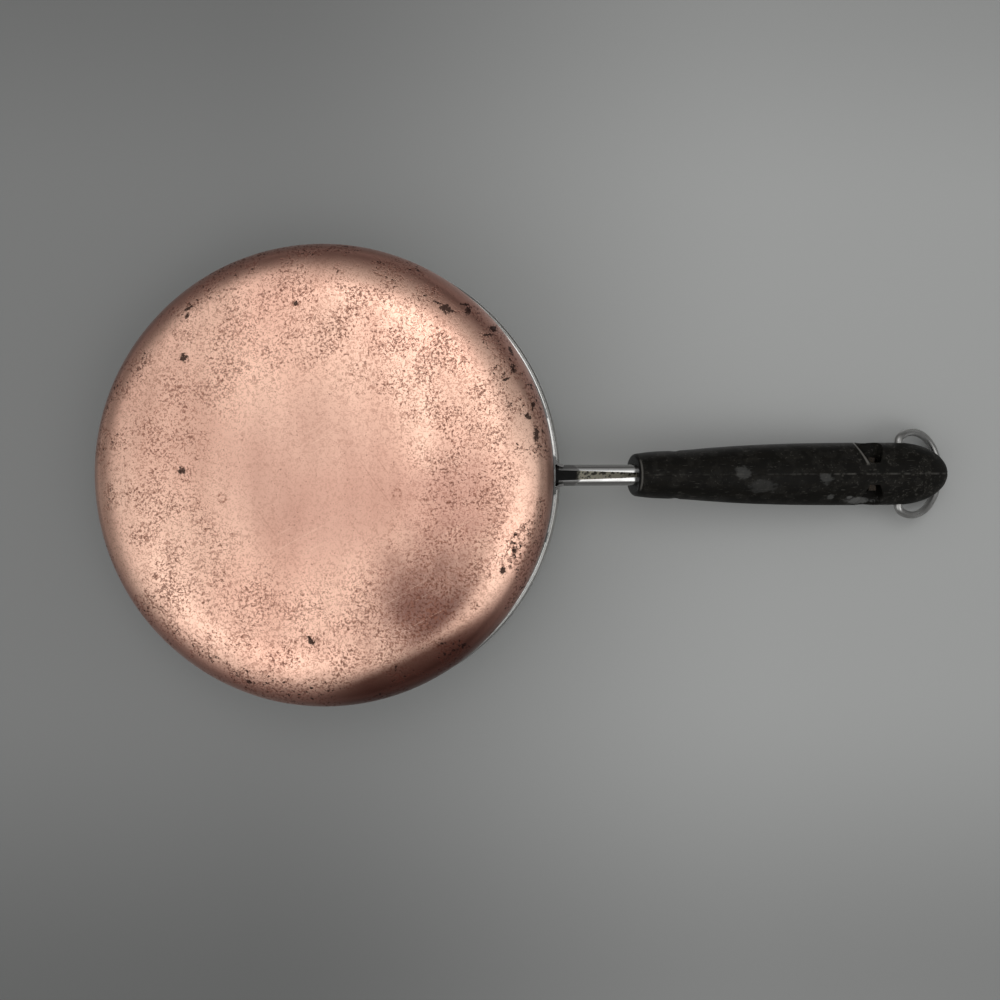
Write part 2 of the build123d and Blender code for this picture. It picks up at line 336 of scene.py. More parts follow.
# %% Profiles of the bowl
steel_thickness = 0.8 * mm
copper_thickness = 0.5 * mm
floor_radius = 82.0 * mm
gentle_radius, gentle_turn = 44.0 * mm, radians(30.0)
wall_lean = radians(1.0)
corner_radius, wall_turn = 15.6 * mm, radians(90.0) - wall_lean
curl_radius, curl_turn = 1.6 * mm, radians(215.0)
floor_steps, gentle_steps, corner_steps, wall_steps, curl_steps = 30, 18, 24, 16, 22
segments_round = 300
rim_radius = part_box("pan_body")[1].x
copper_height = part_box("copper_cladding")[1].z
curl_height = 48.03 * mm


def bowl_line(inset, top):
    """Points (radius, height) of one face. A bend is its centre plus (radius - inset) (sin, -cos)."""
    floor = np.column_stack([np.linspace(0, floor_radius, floor_steps), np.full(floor_steps, inset)])
    shift = gentle_radius - corner_radius
    turn = np.linspace(0, gentle_turn, gentle_steps)[1:]
    reach = gentle_radius - inset
    gentle = np.column_stack([floor_radius + reach * np.sin(turn), gentle_radius - reach * np.cos(turn)])
    turn = np.linspace(gentle_turn, wall_turn, corner_steps)[1:]
    reach = corner_radius - inset
    corner_x = floor_radius + shift * sin(gentle_turn)
    corner_z = gentle_radius - shift * cos(gentle_turn)
    corner = np.column_stack([corner_x + reach * np.sin(turn), corner_z - reach * np.cos(turn)])
    height = np.linspace(corner[-1, 1], top, wall_steps)[1:]
    wall = np.column_stack([corner[-1, 0] + (height - corner[-1, 1]) / np.tan(wall_turn), height])
    return np.vstack([floor, gentle, corner, wall])


def curl_line(start, radius):
    """Points of the rolled rim: its centre plus radius (cos, sin) of an angle that falls."""
    turn = np.linspace(0, curl_turn, curl_steps)[1:]
    centre = start + radius * np.array([cos(wall_lean), -sin(wall_lean)])
    angle = np.pi - wall_lean - turn
    return centre + radius * np.column_stack([np.cos(angle), np.sin(angle)])


print("line of the bowl's outside", len(bowl_line(0.0, copper_height)), "points")

# %% [markdown]
# Hammering, heat and years of hobs leave a base that is no longer quite flat. The outer copper
# face is pushed inwards by up to a quarter of a millimetre in long soft waves, which is enough to
# bend the highlights, and the inner face stays where it was.

# %% Copper shell
copper_outer = bowl_line(0.0, copper_height)
copper_inner = bowl_line(copper_thickness, copper_height)
copper_grid = turned(np.vstack([copper_outer, copper_inner[::-1]]), segments_round)
outer_rows = len(copper_outer)
outer_face = copper_grid[:outer_rows]
dent_depth = 0.12 * mm
long_wave, short_wave, short_share = 90 * mm, 30 * mm, 0.3
top_fade, flat_fade = 8 * mm, 12 * mm
bowl_heart = (0, 0, 30 * mm)
uneven = waves(outer_face, long_wave, seed=5) + waves(outer_face, short_wave, seed=8) * short_share
push = dent_depth * (uneven + 1 + short_share)
push *= np.clip((copper_height - outer_face[..., 2]) / top_fade, 0, 1)
inwards = bowl_heart - outer_face
inwards /= np.linalg.norm(inwards, axis=-1, keepdims=True)
from_axis = np.linalg.norm(outer_face[..., :2], axis=-1, keepdims=True)
flat_share = np.clip((floor_radius - from_axis) / flat_fade, 0, 1)
inwards = inwards * (1 - flat_share) + np.array([0, 0, 1]) * flat_share
copper_grid[:outer_rows] = outer_face + inwards * push[..., None]
copper_shell = new_piece("copper_shell", copper_grid, grid_faces(*copper_grid.shape[:2]))
print("copper shell", len(copper_shell.data.polygons), "faces, deepest dent", round(push.max() / mm, 2), "mm")

# %% Steel bowl
inside_line = bowl_line(copper_thickness + steel_thickness, curl_height)
outside_line = bowl_line(copper_thickness, curl_height)
curl_over = curl_line(inside_line[-1], curl_radius + steel_thickness / 2)
curl_under = curl_line(outside_line[-1], curl_radius - steel_thickness / 2)
steel_profile = np.vstack([inside_line, curl_over, curl_under[::-1], outside_line[::-1]])
steel_grid = turned(steel_profile, segments_round)
steel_bowl = new_piece("steel_bowl", steel_grid, grid_faces(*steel_grid.shape[:2]))
print("steel bowl reaches radius", round(steel_profile[:, 0].max() / mm, 2), "of", round(rim_radius / mm, 2))

# %% [markdown]
# ## Copper, worn by hobs
#
# The copper is satin, not polished: fine wire wool marks, pale where it has been rubbed, with
# brown specks where acid or grease bit into it. The specks crowd into a ring near the edge of the
# flat, and a few deep dark pits lie beyond it. Towards the wall the copper turns purple-brown,
# partly as tarnish and partly as a painted dark reflection. A dark patch and a dark streak on one
# side are painted dark reflections.

# %% Copper finish
pits_at = (
    # x, y, half length, half width in millimetres, and the turn of its length in degrees
    (62.8, -77.3, 2.0, 1.3, 30),
    (58.6, -80.3, 1.6, 0.4, 25),
    (72.5, -77.0, 0.9, 1.5, 0),
    (70.8, -80.0, 1.5, 0.4, 5),
    (83.9, -68.8, 1.2, 1.1, 0),
    (81.8, -65.6, 1.9, 0.4, -10),
    (92.2, -58.4, 0.5, 1.5, -25),
    (93.3, -49.8, 0.8, 1.5, 0),
    (90.2, -44.6, 1.2, 0.4, -25),
    (104.0, -19.0, 0.8, 2.2, 5),
    (102.5, -33.0, 0.6, 0.9, 0),
    (100.2, -27.6, 1.0, 0.8, 40),
    (-60.5, -55.8, 1.3, 1.2, 45),
    (-62.4, -2.8, 1.0, 1.1, 0),
    (-59.2, -79.4, 1.3, 0.6, -30),
    (-59.4, -75.9, 0.6, 1.0, 20),
    (-7.0, -80.4, 0.7, 0.7, 0),
    (93.9, 34.6, 0.7, 1.0, 0),
    (88.3, 43.9, 0.8, 1.2, 0),
    (-33.1, 97.3, 1.0, 0.6, 40),
    (-1.4, 76.8, 1.3, 0.8, 50),
    (69.5, 79.2, 0.7, 0.6, 0),
)
copper_tone = (0.82, 0.49, 0.375, 1)
copper_pale = (0.93, 0.66, 0.51, 1)
copper_brown = (0.22, 0.090, 0.058, 1)
copper_purple = (0.33, 0.155, 0.125, 1)
dark_reflection_tone = (0.145, 0.070, 0.058, 1)
streak_reflection_tone = (0.080, 0.024, 0.017, 1)
speck_tone = (0.110, 0.036, 0.022, 1)
pit_tone = (0.012, 0.003, 0.002, 1)
patch_edge, patch_core = 1.35, 0.50
stains_and_reflection_at = (
    # x, y and reach in millimetres, strength, colour
    # the first is not a stain: it is a painted dark reflection of something dark nearby
    (58.0, 66.0, 52.0, 0.95, dark_reflection_tone),
    (88.0, -66.0, 26.0, 0.55, copper_purple),
    (66.0, 6.0, 34.0, 0.50, copper_purple),
)
ring_marks_at = ((-43.0, 9.8), (39.6, 7.8))
ring_mark_radius = 1.95 * mm
streak_bearing = radians(64.0)
streak_half_angle = radians(38.0)
streak_bow_centre = 400.0 * mm
streak_bow_radius = 491.0 * mm
streak_fade = 7.0 * mm
# distances from the axis at which a zone begins, and at which it is full
dull_middle = (60.0 * mm, 20.0 * mm)
patch_zone = (98.0 * mm, 89.0 * mm)
inside_of_ring = (22.0 * mm, 68.0 * mm)
outside_of_ring = (107.0 * mm, 86.0 * mm)
specked_bend = (88.0 * mm, 99.0 * mm)
# the purple-brown edge, partly tarnish and partly painted dark reflection, begins nearer to the
# axis at the sides than along the handle's line
dark_edge_side = 90.0 * mm
dark_edge_from = (96.5 * mm, 103.5 * mm)
dark_edge_fade = 10.0 * mm
worm_size = 1.5 * mm


def paint_stains_and_reflection(recipe, tone, flat, radius, patterns):
    """Paints stains, and a dark patch that is a painted reflection, whose edges wander with the
    patterns. Returns the tone and where they are.
    """
    stain_and_reflection_mask = 0.0
    on_flat = recipe.ramp(radius, *patch_zone)
    for x, y, reach, strength, colour in stains_and_reflection_at:
        away = recipe.vector("DISTANCE", flat, (x * mm, y * mm, 0))
        for pattern, share in patterns:
            away = recipe.add(away, recipe.product(pattern, share * reach * mm))
        inside = recipe.ramp(away, patch_edge * reach * mm, patch_core * reach * mm)
        near = recipe.product(inside, on_flat, strength)
        tone = recipe.mix(near, tone, colour)
        stain_and_reflection_mask = recipe.most(stain_and_reflection_mask, near)
    return tone, stain_and_reflection_mask


def dark_streak_reflection(recipe, flat):
    """A painted dark reflection: where the bend passes beyond a wide bow, near one bearing."""
    split = recipe.split(flat)
    bearing = recipe.math("ARCTAN2", split["Y"], split["X"])
    opposite = (-streak_bow_centre * cos(streak_bearing), -streak_bow_centre * sin(streak_bearing), 0)
    beyond = recipe.minus(recipe.vector("DISTANCE", flat, opposite), streak_bow_radius)
    near = recipe.band(bearing, streak_bearing, streak_half_angle, 0.3 * streak_half_angle)
    return recipe.product(recipe.ramp(beyond, 0.0, streak_fade), near)


def deep_pits(recipe, where, flat, bend):
    """The pits, each a ragged oval at its own place, and strokes between them on the bend."""
    ragged = recipe.noise(where, 1.4 * mm, detail=4.0, roughness=0.8)
    ragged = recipe.product(recipe.minus(ragged, 0.5), 6.25)
    pits = ragged_ovals(recipe, flat, [(*pit, 1.0) for pit in pits_at], ragged, 1.625, 1.25)
    return recipe.most(pits, recipe.pattern(specks, where, 1.8 * mm, recipe.product(bend, 0.67)))


def round_marks(recipe, flat, worms):
    """Two thin rings, broken by the worm-like grain."""
    rounds = 0.0
    for x, y in ring_marks_at:
        away = recipe.vector("DISTANCE", flat, (x * mm, y * mm, 0))
        ring = recipe.band(away, ring_mark_radius, 0.95 * mm, 0.15 * mm)
        rounds = recipe.most(rounds, recipe.product(ring, recipe.ramp(worms, 0.6, 0.4)))
    return rounds


def make_copper():
    material, recipe, shader, where = new_finish("worn_copper", 1.0)
    flat = recipe.scaled(where, (1, 1, 0))
    radius = recipe.vector("LENGTH", flat)
    broad = recipe.pattern(clouds, where, 75 * mm)
    patchy = recipe.pattern(clouds, where, 16 * mm)
    wiped = recipe.pattern(clouds, recipe.scaled(where, (1, 0.2, 1)), 22 * mm)
    worms = recipe.noise(where, worm_size, detail=3.0, roughness=0.7, distortion=1.3)
    # pale where rubbed, in soft bands, with a dull middle, stains, a painted dark reflection, and scratches
    # two ways
    tone = recipe.paint(copper_tone, copper_pale, broad, 0.5)
    tone = recipe.paint(tone, copper_brown, wiped, 0.25)
    tone = recipe.paint(tone, copper_purple, recipe.ramp(radius, *dull_middle), 0.34)
    patterns = ((broad, 0.30), (patchy, 0.15), (worms, 0.35))
    tone, stain_and_reflection_mask = paint_stains_and_reflection(recipe, tone, flat, radius, patterns)
    for turn, share, colour in ((0.5, 0.25, copper_pale), (2.2, 0.30, copper_brown)):
        marks = recipe.pattern(scratches, recipe.place(where, turn=(0, 0, turn)), 0.7 * mm, 0.42)
        tone = recipe.paint(tone, colour, marks, share)
    # a fine worm-like grain crowds into a ring
    ring = recipe.product(
        recipe.ramp(radius, *inside_of_ring),
        recipe.ramp(radius, *outside_of_ring, 0.25, 1.0),
        recipe.ramp(patchy, 0.0, 1.0, 0.5, 1.0),
    )
    grain = recipe.product(recipe.ramp(worms, 0.51, 0.42), recipe.ramp(ring, 0.0, 1.0, 0.28, 0.68))
    tone = recipe.paint(tone, copper_brown, grain)
    # the turned-up edge goes purple-brown: partly tarnish, partly painted dark reflection
    across = recipe.unsigned(recipe.split(flat)["Y"])
    worn_to = recipe.ramp(across, dark_edge_side, 0.0, *dark_edge_from)
    tarnish_and_dark_reflection = recipe.ramp(recipe.minus(radius, worn_to), 0.0, dark_edge_fade)
    tone = recipe.paint(tone, copper_purple, tarnish_and_dark_reflection, 0.8)
    # darker specks, in clusters inside the ring, in the stains and the painted dark reflection, and along the
    # bend
    bend = recipe.product(recipe.ramp(radius, *specked_bend), recipe.ramp(patchy, 0.15, 0.80))
    crowd = recipe.most(recipe.product(ring, 0.9), bend)
    crowd = recipe.most(crowd, recipe.product(stain_and_reflection_mask, 0.9))
    fine = recipe.pattern(specks, where, 1.3 * mm, recipe.ramp(crowd, 0.25, 1.0, 0.48, 0.92))
    tone = recipe.paint(tone, speck_tone, fine, 0.58)
    # a dark streak on the bend, painted as a dark reflection
    tone = recipe.paint(tone, streak_reflection_tone, dark_streak_reflection(recipe, flat), 0.9)
    pits = deep_pits(recipe, where, flat, bend)
    tone = recipe.paint(tone, pit_tone, pits, 0.9)
    tone = recipe.paint(tone, copper_brown, round_marks(recipe, flat, worms), 0.85)
    roughness = recipe.ramp(broad, 0.0, 1.0, 0.28, 0.36)
    for mask, share in ((grain, 0.12), (fine, 0.2), (pits, 0.3)):
        roughness = recipe.add(roughness, recipe.product(mask, share))
    metal = recipe.minus(1.0, recipe.product(pits, 0.15))
    relief = recipe.product(recipe.add(fine, recipe.product(grain, 0.6)), -1.0)
    relief = recipe.minus(relief, recipe.product(pits, 3.0))
    normal = recipe.bump(relief, 0.04 * mm)
    feed(recipe, shader, Base_Color=tone, Roughness=roughness, Metallic=metal, Normal=normal)
    return material


worn_copper = make_copper()
dress(copper_shell, "pan", worn_copper, "copper_cladding")
print("copper finish", len(worn_copper.node_tree.nodes), "nodes")

# %% [markdown]
# ## Brushed steel
#
# The inside of the bowl was polished on a lathe, so its brushing runs in rings. Rings are noise in
# polar coordinates: distance from the axis and height change fast, the angle hardly at all.

# %% Steel finishes
steel_tone = (0.62, 0.62, 0.61, 1)
steel_dull = (0.40, 0.39, 0.37, 1)
spot_brown = (0.30, 0.25, 0.20, 1)
wall_shade_tone = (0.10, 0.09, 0.08, 1)
grime_tone = (0.06, 0.045, 0.028, 1)
# near-black fastener tones: painted shade of the recesses they sit in
fastener_shade_tones = ((0.014, 0.012, 0.010, 1), (0.008, 0.007, 0.006, 1))
ring_tones = ((0.36, 0.36, 0.35, 1), (0.14, 0.135, 0.13, 1))
wall_shade_top = (46.5 * mm, 44.5 * mm)
brushing_angle = (0.3, 0.2, 0.9)


def make_bowl_steel():
    material, recipe, shader, where = new_finish("brushed_bowl_steel", 1.0)
    radius = recipe.vector("LENGTH", recipe.scaled(where, (1, 1, 0)))
    height = recipe.split(where)["Z"]
    polar = recipe.node("ShaderNodeCombineXYZ", {"X": radius, "Y": height}).outputs["Vector"]
    nearby = recipe.scaled(where, (0.03, 0.03, 0.03))
    rings = recipe.noise(recipe.vector("ADD", polar, nearby), 0.5 * mm, detail=2.0)
    broad = recipe.pattern(clouds, where, 50 * mm)
    spots = recipe.pattern(specks, where, 4 * mm, 0.42)
    marks = recipe.pattern(scratches, recipe.place(where, turn=brushing_angle), 0.6 * mm, 0.4)
    tone = recipe.paint(steel_tone, steel_dull, recipe.ramp(broad, 0.0, 1.0, 0.0, 0.3))
    tone = recipe.paint(tone, steel_dull, recipe.ramp(rings, 0.35, 0.65, 0.25, 0.0))
    tone = recipe.paint(tone, spot_brown, spots, 0.3)
    # the outside of the wall is painted dark up to the curl: painted shade above the copper
    wall_middle = np.mean([inside_line[-1, 0], outside_line[-1, 0]])
    leaned = recipe.product(recipe.minus(curl_height, height), 1 / np.tan(wall_turn))
    outer = recipe.add(recipe.minus(radius, wall_middle), leaned)
    outer = recipe.product(recipe.ramp(outer, 0.0, 0.2 * mm), recipe.ramp(height, *wall_shade_top))
    tone = recipe.paint(tone, wall_shade_tone, outer, 0.8)
    roughness = recipe.ramp(rings, 0.3, 0.7, 0.2, 0.34)
    for mask, share in ((marks, 0.15), (outer, 0.2)):
        roughness = recipe.add(roughness, recipe.product(mask, share))
    normal = recipe.bump(rings, 0.008 * mm)
    normal = recipe.bump(recipe.product(marks, -1.0), 0.01 * mm, normal)
    feed(recipe, shader, Base_Color=tone, Roughness=roughness, Normal=normal)
    return material


def make_plain_steel(name, tones, speck_size, amount):
    """Satin steel between two tones, with lengthwise scratches and grime that sits in specks."""
    material, recipe, shader, where = new_finish(name, 1.0)
    broad = recipe.pattern(clouds, where, 12 * mm)
    dirt = recipe.pattern(specks, where, speck_size, amount)
    marks = recipe.pattern(scratches, where, 0.4 * mm, 0.5)
    tone = recipe.paint(*tones, broad, 0.5)
    tone = recipe.paint(tone, grime_tone, dirt, 0.75)
    roughness = recipe.ramp(broad, 0.0, 1.0, 0.22, 0.4)
    roughness = recipe.add(roughness, recipe.product(dirt, 0.3))
    relief = recipe.minus(dirt, recipe.product(marks, 0.6))
    normal = recipe.bump(relief, 0.015 * mm)
    feed(recipe, shader, Base_Color=tone, Roughness=roughness, Normal=normal)
    return material


bowl_steel = make_bowl_steel()
fastener_steel = make_plain_steel("fastener_steel", fastener_shade_tones, 0.8 * mm, 0.7)
ring_steel = make_plain_steel("ring_steel", ring_tones, 0.9 * mm, 0.45)
dress(steel_bowl, "pan", bowl_steel, "pan_body")
print("steel finishes", [steel.name for steel in (bowl_steel, fastener_steel, ring_steel)])

# %% [markdown]
# ## The handle's own axis
#
# Everything on the handle is measured along its axis, which leaves the wall at 13 degrees. A place
# on it is a distance along, a distance sideways along +Y, and a height square to both.

# %% Places along the handle
handle_rise = radians(13.0)
wall_at_bracket = 111.59 * mm
bracket_height = 36.0 * mm
grip_front = 40.7 * mm
grip_length = 171.8 * mm
handle_root = np.array([wall_at_bracket, 0.0, bracket_height])
along = np.array([cos(handle_rise), 0.0, sin(handle_rise)])
square = np.array([-sin(handle_rise), 0.0, cos(handle_rise)])
sideways = np.array([0.0, 1.0, 0.0])


def on_handle(distance, side, height):
    """Points at these distances along, sideways and square to the handle's axis."""
    distance, side, height = np.broadcast_arrays(distance, side, height)
    return (
        handle_root
        + distance[..., None] * along
        + side[..., None] * sideways
        + height[..., None] * square
    )


def along_handle(recipe, where, start):
    """Object coordinates turned so that X runs along the handle from this distance, Z square to it."""
    return recipe.place(where, at=tuple(on_handle(start, 0.0, 0.0)), turn=(0, handle_rise, 0))


print("handle's root", (handle_root / mm).round(1), "mm")


# %% [markdown]
# ## The grip
#
# The grip was moulded as two shells that meet on the middle plane. Its sections are ellipses whose
# half width and half depth change along it. The line between the known sections is a cubic whose
# slope at each section follows its neighbours. Where the halves meet, the mould left a small
# rounded edge, so the joint shows as a fine groove.

# %% Sections of the grip
grip_half_width = 16.3 * mm
grip_half_depth = 12.6 * mm
grip_end_length = 28.0 * mm
front_round = 1.4 * mm
station_shares = np.array((0.0, 0.05, 0.17, 0.29, 0.41, 0.59, 0.78, 1.0))
width_shares = np.array((0.64, 0.70, 0.755, 0.84, 0.91, 0.97, 0.995, 1.0))
depth_shares = np.array((0.97, 0.98, 1.0, 1.0, 0.995, 0.985, 0.965, 0.94))
seam_depth = 0.22 * mm
seam_width = 0.45 * mm
seam_fade = 4.0 * mm
front_steps, body_steps, end_steps, section_steps = 9, 150, 40, 97


def cubic_between(places, stations, values):
    """Cubic between stations whose slope at each one is that of the neighbours on both sides."""
    slopes = np.gradient(values, stations)
    index = np.clip(np.searchsorted(stations, places, side="right") - 1, 0, len(stations) - 2)
    gap = stations[index + 1] - stations[index]
    t = (places - stations[index]) / gap
    return (
        (2 * t**3 - 3 * t**2 + 1) * values[index]
        + (t**3 - 2 * t**2 + t) * gap * slopes[index]
        + (3 * t**2 - 2 * t**3) * values[index + 1]
        + (t**3 - t**2) * gap * slopes[index + 1]
    )


def grip_rows():
    """Distance from the front, half width and half depth of each row of the grip's grid."""
    straight = grip_length - grip_end_length
    turn = np.linspace(0, np.pi / 2, front_steps)
    front = front_round * (1 - np.cos(turn))
    inset = front_round * (1 - np.sin(turn))
    body = np.linspace(front_round, straight, body_steps)[1:]
    places = np.concatenate([front, body])
    inset = np.concatenate([inset, np.zeros(len(body))])
    width = grip_half_width * cubic_between(places / straight, station_shares, width_shares) - inset
    depth = grip_half_depth * cubic_between(places / straight, station_shares, depth_shares) - inset
    turn = np.linspace(0, np.pi / 2, end_steps)[1:]
    places = np.concatenate([places, straight + grip_end_length * np.sin(turn)])
    width = np.concatenate([width, width[-1] * np.cos(turn)])
    depth = np.concatenate([depth, depth[-1] * np.cos(turn)])
    return places, width, depth


def make_grip_half(name, hand):
    """A closed half: the half ellipse on one side, and the flat joint that closes it."""
    places, width, depth = grip_rows()
    t = np.linspace(-1, 1, section_steps)
    angle = np.pi / 2 * (1.5 * t - 0.5 * t**3)
    side = width[:, None] * np.cos(angle)
    height = depth[:, None] * np.sin(angle)
    pinch = seam_depth * np.exp(-((side / seam_width) ** 2)) * np.clip(depth[:, None] / seam_fade, 0, 1)
    height = height - np.sign(height) * pinch
    points = on_handle(grip_front + places[:, None], hand * np.maximum(side, 0), height)
    rows, columns = points.shape[:2]
    faces = grid_faces(rows, columns) + [list(range(columns))]
    return new_piece(name, points, faces, sharp=40.0)


print("grip rows", len(grip_rows()[0]))

# %% [markdown]
# Holes are cut with other solids. A rod across the handle cuts a round hole, and a rounded bar
# along it cuts the pocket for the bracket's tang.


# %% Cutters for the holes
def rod_across(name, distance, height, radii, ends, sides=72):
    """A closed rod or cone along Y: a circle at one end, a circle at the other, and two caps."""
    angle = np.linspace(0, 2 * np.pi, sides, endpoint=False)
    reach = np.array(radii)[:, None]
    places = np.array(ends)[:, None]
    points = on_handle(distance + reach * np.cos(angle), places, height + reach * np.sin(angle))
    faces = grid_faces(2, sides) + [list(range(sides)), list(range(sides, 2 * sides))]
    return new_piece(name, points, faces)


def bar_along(name, start, end, width, depth, corner):
    """A closed bar along the handle whose section is a rectangle with round corners."""
    quarter = np.linspace(0, np.pi / 2, 9)
    angle = np.concatenate([quarter + turn * np.pi / 2 for turn in range(4)])
    x_sign = np.repeat([1, -1, -1, 1], len(quarter))
    z_sign = np.repeat([1, 1, -1, -1], len(quarter))
    side = x_sign * (width / 2 - corner) + corner * np.cos(angle)
    height = z_sign * (depth / 2 - corner) + corner * np.sin(angle)
    points = on_handle(np.array([start, end])[:, None], side, height)
    sides = len(angle)
    faces = grid_faces(2, sides) + [list(range(sides)), list(range(sides, 2 * sides))]
    return new_piece(name, points, faces)


def cut(piece, *cutters):
    """Takes each cutter's space out of the piece, and keeps the result as the piece's own mesh."""
    for cutter in cutters:
        modifier = piece.modifiers.new(cutter.name, "BOOLEAN")
        modifier.operation = "DIFFERENCE"
        modifier.solver = "EXACT"
        modifier.object = cutter
    bpy.context.view_layer.update()
    seen = piece.evaluated_get(bpy.context.evaluated_depsgraph_get())
    mesh = bpy.data.meshes.new_from_object(seen)
    piece.modifiers.clear()
    piece.data = mesh
    shade(mesh, 40.0)


# %% Grip halves with their holes
rivet_at = grip_front + 22.0 * mm
screw_at = grip_front + grip_length - 46.8 * mm
screw_drop = 5.0 * mm
ring_at = grip_front + grip_length - 27.3 * mm
ring_bore = 2.08 * mm
shank_hole = 2.1 * mm
pocket_start, pocket_end = grip_front - 2 * mm, grip_front + 62.15 * mm
pocket_width, pocket_depth, pocket_corner = 10.7 * mm, 14.3 * mm, 3.35 * mm
rivet_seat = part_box("front_rivet")[1].y - 1.1 * mm
rivet_recess_radius = 3.3 * mm
screw_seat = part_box("rear_nut")[0].y
recess_radius = 6.8 * mm
mouth_start, mouth_radius = 12.0 * mm, 7.8 * mm
wide = 2 * grip_half_width
recesses = (
    # name, distance, height, radius where it starts and ends, start and end from the middle plane
    ("rivet_recess", rivet_at, 0.0, rivet_recess_radius, rivet_recess_radius, rivet_seat, wide),
    ("screw_recess", screw_at, -screw_drop, recess_radius, recess_radius, screw_seat, wide),
    ("recess_mouth", screw_at, -screw_drop, recess_radius, mouth_radius, mouth_start, 2 * mouth_start),
)
cutters = [
    bar_along("tang_pocket", pocket_start, pocket_end, pocket_width, pocket_depth, pocket_corner),
    rod_across("rivet_hole", rivet_at, 0.0, (shank_hole, shank_hole), (-wide, wide)),
    rod_across("screw_hole", screw_at, -screw_drop, (shank_hole, shank_hole), (-wide, wide)),
    rod_across("ring_bore", ring_at, 0.0, (ring_bore, ring_bore), (-wide, wide)),
]
for name, distance, height, inner, outer, start, end in recesses:
    for hand in (-1, 1):
        cutters.append(rod_across(name, distance, height, (inner, outer), (hand * start, hand * end)))
left_grip = make_grip_half("left_grip", -1)
right_grip = make_grip_half("right_grip", 1)
for half in (left_grip, right_grip):
    cut(half, *cutters)
for cutter in cutters:
    bpy.data.objects.remove(cutter)
print("grip halves", [len(half.data.polygons) for half in (left_grip, right_grip)], "faces")

# %% [markdown]
# ## Worn phenolic
#
# The grip is a dark thermoset that was glossy once. Washing has left it matte, with brown flow
# lines along its length, pale scuffs where it lay on its side, and fine pits near the end. The
# recesses kept more of the gloss. The rim of the screw recess on one half and the lower edge of
# the front opening carry painted highlights. Beside the recess on the other half, a lit patch and
# a highlight are painted on.

# %% Grip finish
phenolic_dark = (0.0035, 0.0033, 0.0026, 1)
phenolic_brown = (0.005, 0.0044, 0.0032, 1)
phenolic_clean = (0.004, 0.004, 0.004, 1)
fleck_tone = (0.055, 0.052, 0.045, 1)
lip_highlight_and_seam_tone = (0.110, 0.105, 0.095, 1)
scuff_and_highlight_tone = (0.13, 0.13, 0.125, 1)
gloss = 0.075
recess_local = screw_at - grip_front
recess_lip_radius = 7.6 * mm
front_lip_at = 1.3 * mm
lip_edge, lip_core = 0.6 * mm, 0.2 * mm
# distances from the front over which the flecks crowd together and the joint grows pale
flecked_end = (85.0 * mm, 165.0 * mm)
pale_joint = (60.0 * mm, 115.0 * mm)
underside = (5.0 * mm, 3.0 * mm)
scuffs_and_highlights_at = (
    # distance from the front, side, half length, half width in millimetres, turn, strength
    (53.0, -1.0, 4.0, 3.0, 0, 0.35),
    (64.0, 6.0, 8.0, 3.0, 0, 0.20),
    (98.0, 2.5, 3.5, 2.6, 0, 0.38),
    (102.0, 11.5, 1.8, 1.6, 0, 0.50),
    # the next two are not scuffs: a painted lit patch on the recess wall and a painted highlight at its edge
    (120.5, 13.6, 9.5, 2.0, 0, 0.95),
    (112.5, 12.0, 1.6, 0.7, 0, 0.90),
)


def painted_lip_highlights(recipe, local, distance, side, below):
    """Painted highlights on the edges of the front opening and of the recess on the left half."""
    off_middle = recipe.unsigned(side)
    front_lip_highlight = recipe.product(
        recipe.band(distance, front_lip_at, lip_edge, lip_core),
        recipe.ramp(off_middle, 8.5 * mm, 6 * mm),
        below,
    )
    from_screw = recipe.scaled(recipe.place(local, at=(recess_local, 0, -screw_drop)), (1, 0, 1))
    recess_lip_highlight = recipe.product(
        recipe.band(recipe.vector("LENGTH", from_screw), recess_lip_radius, lip_edge, lip_core),
        recipe.ramp(distance, recess_local, recess_local - 3 * mm),
        recipe.ramp(off_middle, 4 * mm, 6 * mm),
        recipe.ramp(side, 1 * mm, -1 * mm),
    )
    return recipe.most(recipe.product(front_lip_highlight, 0.7), recess_lip_highlight)


